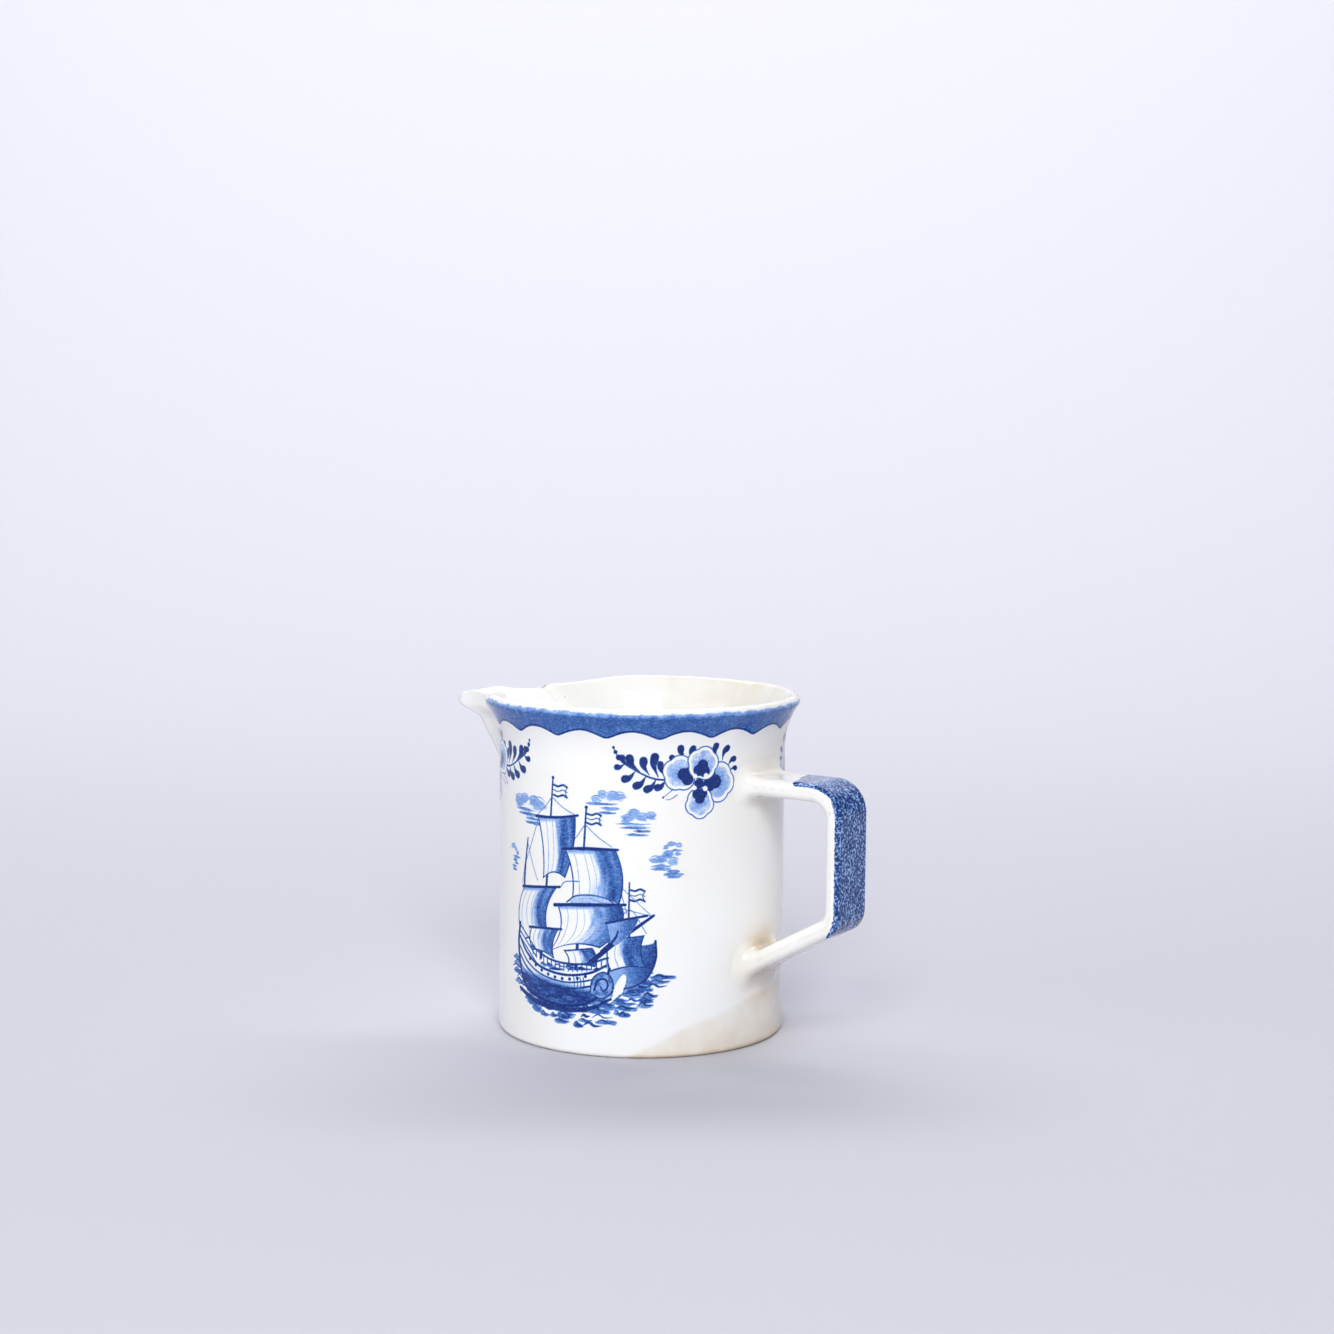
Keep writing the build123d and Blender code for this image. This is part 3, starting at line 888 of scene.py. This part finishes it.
def bowsprit(patch):
    """The spar over the bow, with its small sail and stays."""
    patch.stroke([(3.2, 24.6), (10.4, 30.6), (19.4, 37.2)], 1.15, 0.55, tone=0.97)
    patch.fill([(7.6, 35.0), (15.4, 36.6), (12.4, 31.4), (9.2, 29.6)],
               lambda x, y: 0.30 + 0.35 * smooth_step(x, 8, 15))
    patch.stroke([(7.2, 35.0), (12.6, 36.2), (17.8, 37.2)], 0.5)
    patch.stroke([(6.2, 27.6), (9.4, 30.8), (10.4, 33.0)], 0.8, 0.4, tone=0.9)
    for stay_end in ((3.0, 41.0), (9.4, 46.0)):
        patch.stroke([(19.0, 37.0), stay_end], 0.14, tone=0.65)


def great_hull(patch):
    """The great ship's hull: planks, wales, gun ports, stern gallery and deck rail."""
    hull = [(-20.6, 31.6), (-21.2, 26.4), (-20.2, 20.0), (-17.6, 15.4), (-11.0, 13.2), (-3.0, 12.8),
            (3.2, 14.4), (6.6, 18.2), (8.0, 23.0), (4.0, 22.6), (-2.0, 22.0), (-9.0, 21.4), (-14.6, 23.6),
            (-18.2, 27.6)]

    def planks(x, y):
        low = smooth_step(20.4 - y - 0.10 * (x + 8), 0.0, 3.4)
        return 0.06 + (0.60 * low + 0.10) * (0.55 + 0.9 * ripple(x * 0.5, y * 2.2, 24, 1.2)) * low

    patch.fill(hull, 0.0)
    patch.fill(hull, planks)
    for lift, width, tone in ((0.0, 0.5, 0.95), (1.9, 0.34, 0.85), (3.5, 0.42, 0.9), (5.0, 0.28, 0.75)):
        patch.stroke([(-20.6, 28.2 - lift * 1.35), (-17.4, 24.4 - lift * 1.1), (-12.0, 21.6 - lift),
                      (-4.0, 20.6 - lift), (3.0, 21.8 - lift), (7.4, 24.0 - lift * 1.2)], width, tone=tone)
    patch.stroke([(-20.6, 31.8), (-21.3, 26.4), (-20.2, 20.0), (-17.6, 15.4), (-11.0, 13.1), (-3.0, 12.7),
                  (3.2, 14.3), (6.8, 18.2), (8.2, 23.2)], 0.7, 0.6)
    for k in range(9):
        x = -16.2 + 2.25 * k
        patch.dot(x, 20.6 + 0.045 * (x + 5.0) ** 2 * 0.62 - 1.1, 0.40, 0.97)
    for lift in (0.0, 1.7, 3.3):
        patch.stroke([(-20.4, 31.2 - lift), (-18.0, 29.4 - lift), (-15.4, 27.2 - lift), (-13.6, 25.6 - lift)],
                     0.30, tone=0.8)
    patch.stroke([(-15.8, 26.6), (-8.0, 23.9), (1.0, 23.9), (7.8, 26.0)], 0.42, tone=0.9)
    for k in range(17):
        x = -15.0 + 1.32 * k
        y = 23.7 + 0.021 * (x + 3.5) ** 2
        patch.stroke([(x, y), (x, y - 2.0)], 0.24, tone=0.78)


def bow_and_water(patch):
    """The scroll at the bow, the dark line of the water and the white bow wave."""
    bow = [(3.0, 16.6), (4.0, 20.6), (6.8, 22.2), (9.0, 20.4), (8.8, 17.2), (6.2, 15.4)]
    patch.fill(bow, lambda x, y: 0.16 + 0.55 * ripple(x, y, 25, 1.1))
    patch.stroke(bow + bow[:1], 0.34, tone=0.9)
    patch.stroke([(4.2, 17.4), (5.2, 20.0), (7.2, 20.4), (7.8, 18.6), (6.6, 17.4), (5.8, 18.6)], 0.5, 0.3)
    for k in range(4):
        patch.stroke([(0.4 - 0.9 * k, 15.6), (1.4 - 0.9 * k, 18.0), (1.2 - 0.9 * k, 20.4)], 0.2, tone=0.75)
    patch.stroke([(-20.4, 14.6), (-14.0, 12.4), (-5.0, 11.6), (3.0, 12.6), (8.6, 15.4)], 0.8, 0.5, tone=0.9,
                 middle=1.3)
    patch.fill([(8.8, 14.6), (11.6, 17.6), (12.6, 21.0), (11.6, 21.8), (9.6, 18.6)], 0.0)
    patch.stroke([(8.6, 14.2), (11.8, 17.2), (12.9, 21.2)], 0.2, tone=0.7)


def ship_picture():
    """A three-masted merchant ship under sail, a smaller one behind it, clouds and sea."""
    patch = Print((-27, 4), (29, 74), 0.16)
    for x, y, width, height, seed, bars in (
            (-16.8, 62.8, 17, 7.5, 71, 4), (7.2, 66.4, 13, 6.0, 72, 3), (15.6, 61.4, 13, 6.5, 73, 4),
            (22.0, 50.6, 11, 6.5, 74, 5), (24.0, 54.4, 6, 3.2, 75, 2), (-23.4, 49.6, 6.5, 7.5, 76, 5)):
        cloud(patch, x, y, width, height, seed, bars)
    sea(patch, -2.5, 23.0, 45, 15.5, 77)
    for paint in (small_ship, masts_and_rigging, great_sails, bowsprit, great_hull, bow_and_water):
        paint(patch)
    return patch


# ---- age stains, and a painted shade on the wall, kept in the vertices
TIDE_AZIMUTHS = (-180, -62, -34, -8, 30, 70, 180)  # degrees; the tea stain lies below the handle
TIDE_HEIGHTS = (0, 0, 9.0, 13.5, 16.0, 2.0, 0)
HANDLE_STAINS = ((HANDLE_TOP - 2, 6.5, 0.55), (HANDLE_FOOT + 2, 8.5, 0.75), (HANDLE_FOOT + 7, 4.0, 0.6))
CHIP = (GRIP_X - 0.8, HANDLE_HALF - 1.9, HANDLE_FOOT + 15.2)
CHIP_SIZE = (1.6, 1.4, 0.9)


def stain_and_shade(p):
    """How stained the glaze is at places, with a faint painted shade on the wall round the handle's side: 0
    clean, 1 tea brown, 2 bare brown body.
    """
    x, y, z = p.T
    r = np.hypot(x, y)
    azimuth = np.degrees(np.arctan2(y, x))
    outside = smooth_step(r - wall_reach(z) + WALL / 2, -0.7, 0.7)
    line = np.interp(azimuth, TIDE_AZIMUTHS, TIDE_HEIGHTS)
    line = line + 1.2 * (ripple(azimuth * 0.6, z * 0, 61, 7) - 0.5)
    wedge = smooth_step(line - z, -0.6, 0.9) * (0.32 + 0.30 * smooth_step(z, 14, 0))
    foot = 0.35 * smooth_step(z, 2.0, 0.2)
    roots = np.zeros(len(p))
    for height, size, strength in HANDLE_STAINS:
        away = np.sqrt((x - RADIUS) ** 2 + (0.75 * y) ** 2 + (z - height) ** 2)
        roots = roots + strength * np.exp(-(away / size) ** 2)
    inner = (1 - outside) * smooth_step(z, 30, 84) * (0.16 + 0.46 * ripple(azimuth * 0.35, z * 0.05, 62, 2.2))
    inner = inner * smooth_step(180 - np.abs(azimuth), 26, 85)
    rim = 0.22 * smooth_step(z, HEIGHT - 1.6, HEIGHT - 0.2) * ripple(azimuth * 0.8, z, 63, 3)
    total = outside * (wedge + foot + roots * (r < RADIUS + 12)) + inner + rim
    seam = np.zeros(len(p))
    near = (x > RADIUS + 2) & (np.abs(y) > HANDLE_HALF - 1.2) & (np.abs(y) < HANDLE_HALF + 1)
    depth = -outline_distance(x[near], z[near], HANDLE)
    half = np.where(x[near] > GRIP_X - GRIP - 1, GRIP, ARM) / 2
    seam[near] = 0.42 * smooth_step(depth, half - 0.45, half - 0.1) * smooth_step(
        ripple(x[near], z[near], 64, 0.9), 0.30, 0.62)
    # painted shade: a faint darker, warmer tint on the outer wall round the handle's side
    shade = 0.10 * outside * smooth_step(azimuth, -40, 0) * smooth_step(azimuth, 60, 30)
    return total + seam + shade + 2.4 * chip(p)


def chip(p):
    """A small chip in the glaze at the handle's lower bend, 1 at its middle."""
    return np.exp(-(((p - np.array(CHIP)) / np.array(CHIP_SIZE)) ** 2).sum(1))


def sponge(p, normals):
    """Where the sponged blue lies on the handle: its outer face, between two ragged ends."""
    x, y, z = p.T
    outward = np.maximum(normals[:, 0], np.where(z > HANDLE_TOP - 12, normals[:, 2], -1))
    face = smooth_step(outward, 0.30, 0.62)
    start = GRIP_X - 13.0 - 5.0 * (y + HANDLE_HALF) / (2 * HANDLE_HALF) + 1.6 * (ripple(y, z, 65, 1.4) - 0.5)
    finish = 32.2 + 0.12 * y + 1.2 * (ripple(x, y, 66, 1.4) - 0.5)
    bare = smooth_step(chip(p), 0.25, 0.6)
    return face * smooth_step(x - start, -0.5, 0.5) * smooth_step(z - finish, -0.5, 0.5) * (1 - bare)


# ---- the three glazed pieces
body_mesh = surface_mesh(body_distance, (-RIM_REACH, -RIM_REACH, 0), (RIM_REACH, RIM_REACH, HEIGHT), 0.8)
body = add_mesh("glazed_pot", *body_mesh)
spout_mesh = surface_mesh(spout_distance, (-TIP_X, -26, KEEL_FOOT_Z - 8), (-RADIUS + 16, 26, HEIGHT), 0.45)
spout = add_mesh("glazed_spout", *spout_mesh)
handle_mesh = surface_mesh(handle_distance, (RADIUS - 4, -14, HANDLE_FOOT - 7),
                           (GRIP_X, 14, HANDLE_TOP + 5), 0.5)
handle = add_mesh("glazed_handle", *handle_mesh, {"sponge": sponge(handle_mesh[0], handle_mesh[2])})

# ---- the printed sheets
SPRAY_TURN = math.radians(33.0)  # the flowers beside the handle, either side of it
FAR_SPRAY_TURN = math.radians(138.0)  # the flowers beside the spout
PICTURE_TURN = math.radians(80.0)  # the ship pictures, either side


def clear_of_spout(p):
    """Places that the beak doesn't cover."""
    return (beak_distance(p) > -1.4) | (p[:, 0] > -RADIUS / 2)


band = rim_band().sheet("printed_rim_band", 0.0, keep=clear_of_spout)
prints = [band]
flowers = spray()
for name, azimuth, mirror in (("printed_spray_front_handle", -SPRAY_TURN, False),
                              ("printed_spray_front_spout", -FAR_SPRAY_TURN, True),
                              ("printed_spray_back_handle", SPRAY_TURN, True),
                              ("printed_spray_back_spout", FAR_SPRAY_TURN, False)):
    prints.append(flowers.sheet(name, azimuth, mirror))
picture = ship_picture()
prints.append(picture.sheet("printed_ship_front", -PICTURE_TURN))
prints.append(picture.sheet("printed_ship_back", PICTURE_TURN))


# ---- the glaze
class Shading:
    """A new material, with short names for the nodes that it is made of."""

    def __init__(self, name):
        self.material = bpy.data.materials.new(name)
        self.material.use_nodes = True
        self.nodes = self.material.node_tree.nodes
        self.link = self.material.node_tree.links.new
        self.shader = self.nodes["Principled BSDF"]
        self.place = self.nodes.new("ShaderNodeTexCoord").outputs["Object"]

    def attribute(self, name):
        node = self.nodes.new("ShaderNodeAttribute")
        node.attribute_name = name
        return node.outputs["Fac"]

    def noise(self, scale, detail, stretch=None):
        node = self.nodes.new("ShaderNodeTexNoise")
        node.inputs["Scale"].default_value = scale
        node.inputs["Detail"].default_value = detail
        source = self.place
        if stretch:
            mapping = self.nodes.new("ShaderNodeMapping")
            mapping.inputs["Scale"].default_value = stretch
            self.link(source, mapping.inputs["Vector"])
            source = mapping.outputs["Vector"]
        self.link(source, node.inputs["Vector"])
        return node.outputs["Fac"]

    def maths(self, kind, a, b):
        node = self.nodes.new("ShaderNodeMath")
        node.operation = kind
        for socket, value in zip(node.inputs, (a, b)):
            if isinstance(value, (int, float)):
                socket.default_value = value
            else:
                self.link(value, socket)
        return node.outputs[0]

    def times(self, a, b):
        return self.maths("MULTIPLY", a, b)

    def spread(self, value, low, high, out_low=0.0, out_high=1.0):
        """A value mapped from one range to another, and held at its ends."""
        node = self.nodes.new("ShaderNodeMapRange")
        self.link(value, node.inputs["Value"])
        for key, number in (("From Min", low), ("From Max", high), ("To Min", out_low), ("To Max", out_high)):
            node.inputs[key].default_value = number
        return node.outputs["Result"]

    def ramp(self, value, stops):
        node = self.nodes.new("ShaderNodeValToRGB")
        self.link(value, node.inputs["Fac"])
        elements = node.color_ramp.elements
        while len(elements) < len(stops):
            elements.new(0.5)
        for element, (position, colour) in zip(elements, stops):
            element.position = position
            element.color = (*colour, 1)
        return node.outputs["Color"]

    def mix(self, factor, a, b):
        node = self.nodes.new("ShaderNodeMix")
        node.data_type = "RGBA"
        self.link(factor, node.inputs["Factor"])
        self.link(a, node.inputs["A"])
        self.link(b, node.inputs["B"])
        return node.outputs["Result"]


WHITE = ((0.30, (0.855, 0.850, 0.825)), (0.62, (0.885, 0.893, 0.895)))
# tea-brown tones; their faint end also gives the painted shade on the wall round the handle's side
TEA_AND_SHADE = ((0.0, (0.85, 0.80, 0.70)), (0.45, (0.62, 0.50, 0.34)), (0.85, (0.16, 0.085, 0.04)))
GRAIN = ((0.3, (0.20, 0.13, 0.08)), (0.7, (0.34, 0.26, 0.20)))
BLUE = ((0.0, (0.54, 0.68, 0.90)), (0.30, (0.25, 0.41, 0.77)), (0.55, (0.056, 0.165, 0.47)),
        (0.78, (0.013, 0.058, 0.28)), (1.0, (0.003, 0.020, 0.150)))
DAB = ((0.38, (0.34, 0.49, 0.78)), (0.455, (0.095, 0.21, 0.50)), (0.505, (0.024, 0.080, 0.29)),
       (0.58, (0.006, 0.028, 0.15)))


def stained_and_shaded_white(glaze):
    """The glaze itself, clouds of cream in cool white, with its tea stains and a faint painted shade."""
    white = glaze.ramp(glaze.noise(26, 3), WHITE)
    patchy = glaze.spread(glaze.noise(150, 4), 0.25, 0.75, 0.72, 1.25)
    depth = glaze.times(glaze.attribute("stain_and_shade"), patchy)
    tea_and_shade = glaze.ramp(glaze.times(depth, 0.5), TEA_AND_SHADE)
    return glaze.mix(glaze.spread(depth, 0.03, 0.9, 0.0, 0.82), white, tea_and_shade)


def pinholes(glaze):
    """Where the glaze has a pinhole: a few cells out of many, at their middles."""
    cells = glaze.nodes.new("ShaderNodeTexVoronoi")
    cells.inputs["Scale"].default_value = 210
    glaze.link(glaze.place, cells.inputs["Vector"])
    lot = glaze.nodes.new("ShaderNodeSeparateColor")
    glaze.link(cells.outputs["Color"], lot.inputs["Color"])
    chosen = glaze.maths("GREATER_THAN", lot.outputs[0], 0.955)
    return glaze.times(chosen, glaze.spread(cells.outputs["Distance"], 0.055, 0.03, 0.0, 0.75))


def printed(glaze, colour):
    """The transfer print, grainy where its ink is thin."""
    fine = glaze.spread(glaze.noise(2600, 2), 0.3, 0.7, 0.80, 1.20)
    weave = glaze.spread(glaze.noise(900, 3, (1.0, 1.0, 2.2)), 0.3, 0.7, 0.90, 1.24)
    ink = glaze.times(glaze.times(glaze.attribute("ink"), fine), weave)
    return glaze.mix(glaze.spread(ink, 0.04, 0.26), colour, glaze.ramp(ink, BLUE))


def sponged(glaze, colour):
    """The sponged blue of the handle: a net of dark over light, with a ragged edge."""
    net = glaze.maths("ADD", glaze.times(glaze.noise(1450, 1), 0.74), glaze.times(glaze.noise(420, 2), 0.26))
    sponge_here = glaze.attribute("sponge")
    ragged = glaze.maths("ADD", sponge_here, glaze.spread(glaze.noise(1300, 2), 0.35, 0.65, -0.15, 0.15))
    edge = glaze.times(glaze.spread(ragged, 0.42, 0.62), glaze.spread(sponge_here, 0.02, 0.2))
    return glaze.mix(edge, colour, glaze.ramp(net, DAB))


def glaze_material():
    """Warm white glaze with printed blue under it; ink, sponge, stain and painted shade come from the
    vertices.
    """
    glaze = Shading("glaze")
    hole = pinholes(glaze)
    colour = glaze.mix(hole, stained_and_shaded_white(glaze), glaze.ramp(glaze.noise(900, 1), GRAIN))
    colour = sponged(glaze, printed(glaze, colour))
    glaze.link(colour, glaze.shader.inputs["Base Color"])
    glaze.link(glaze.spread(glaze.noise(70, 3), 0.3, 0.7, 0.045, 0.10), glaze.shader.inputs["Roughness"])
    glaze.shader.inputs["IOR"].default_value = 1.5
    glaze.shader.inputs["Specular IOR Level"].default_value = 0.33

    # the faint orange peel of the glaze
    bump = glaze.nodes.new("ShaderNodeBump")
    bump.inputs["Strength"].default_value = 0.22
    bump.inputs["Distance"].default_value = 0.00035
    relief = glaze.maths("SUBTRACT", glaze.noise(230, 3), glaze.times(hole, 0.6))
    glaze.link(relief, bump.inputs["Height"])
    glaze.link(bump.outputs["Normal"], glaze.shader.inputs["Normal"])
    return glaze.material


glaze = glaze_material()
for piece in (body, spout, handle, *prints):
    piece.data.materials.append(glaze)
    places = np.empty(len(piece.data.vertices) * 3)
    piece.data.vertices.foreach_get("co", places)
    # per-vertex stains, together with the painted shade on the wall round the handle's side
    layer = piece.data.attributes.new("stain_and_shade", "FLOAT", "POINT")
    layer.data.foreach_set("value", stain_and_shade(places.reshape(-1, 3) / MM).astype(np.float32))

for piece in (body, spout, handle, *prints):
    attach(piece, "root")
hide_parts("body")
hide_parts("spout", "spout_slip")
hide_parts("handle", "handle_upper_slip", "handle_lower_slip")


# ---- camera
AZIMUTH = math.radians(34.5)  # from the front towards the handle
HEADING = math.radians(33.94)
PITCH = math.radians(-5.97)
ROLL = math.radians(0.5)
AWAY = 648.9  # level distance from the axis of the pot
EYE_HEIGHT = 164.4
eye = Vector((AWAY * math.sin(AZIMUTH), -AWAY * math.cos(AZIMUTH), EYE_HEIGHT)) * MM
forward = Vector((-math.sin(HEADING) * math.cos(PITCH), math.cos(HEADING) * math.cos(PITCH), math.sin(PITCH)))
turned = forward.to_track_quat("-Z", "Y").to_matrix().to_4x4() @ Matrix.Rotation(ROLL, 4, "Z")
camera_data = bpy.data.cameras.new("camera")
camera_data.sensor_width = 36
camera_data.lens = 66.2
camera_data.clip_start = 0.01
camera = put("camera", camera_data)
camera.matrix_world = Matrix.Translation(eye) @ turned
bpy.context.scene.camera = camera


# ---- floor, backdrop and light
sweep = Matrix.Rotation(HEADING, 4, "Z")
paper = Shading("studio_floor")
paper.shader.inputs["Base Color"].default_value = (0.555, 0.555, 0.615, 1)
paper.shader.inputs["Roughness"].default_value = 0.9

BEND = 0.9  # radius of the sweep from floor to backdrop
profile = [(-1.1, 0.0)] + [(0.5 + BEND * math.sin(t), BEND - BEND * math.cos(t))
                           for t in np.linspace(0, math.pi / 2, 40)] + [(0.5 + BEND, 2.6)]
verts = [sweep @ Vector((x, y, z)) for y, z in profile for x in (-2.6, 2.6)]
faces = [(2 * i, 2 * i + 1, 2 * i + 3, 2 * i + 2) for i in range(len(profile) - 1)]
floor_mesh = bpy.data.meshes.new("studio_floor")
floor_mesh.from_pydata([tuple(v) for v in verts], [], faces)
for polygon in floor_mesh.polygons:
    polygon.use_smooth = True
floor_mesh.materials.append(paper.material)
floor = put("studio_floor", floor_mesh)


def area_light(name, place, width, height, power, aim):
    """A soft lamp; its place and aim are in metres, seen from the camera's side."""
    data = bpy.data.lights.new(name, "AREA")
    data.shape = "RECTANGLE"
    data.size = width
    data.size_y = height
    data.energy = power
    lamp = put(name, data)
    lamp.location = sweep @ Vector(place)
    lamp.rotation_euler = (sweep @ Vector(aim) - lamp.location).to_track_quat("-Z", "Y").to_euler()


area_light("overhead", (-0.1, 0.35, 1.2), 1.2, 1.0, 0.4, (0, 0, 0.05))
for name, side in (("window_left", -0.215), ("window_right", 0.215)):
    area_light(name, (side, -1.3, 0.9), 0.36, 0.72, 10.1, (side, 0, 0.06))
area_light("left_fill", (-1.1, -0.5, 0.35), 0.8, 0.6, 2.6, (0, 0, 0.05))
area_light("backdrop_light", (0.0, 1.0, 1.5), 2.6, 0.5, 31, (0, 1.35, 0.4))
world = bpy.data.worlds.new("studio")
world.use_nodes = True
sky = world.node_tree.nodes["Background"]
sky.inputs["Color"].default_value = (0.95, 0.96, 1.0, 1)
sky.inputs["Strength"].default_value = 0.20
bpy.context.scene.world = world
bpy.context.scene.view_settings.view_transform = "Standard"
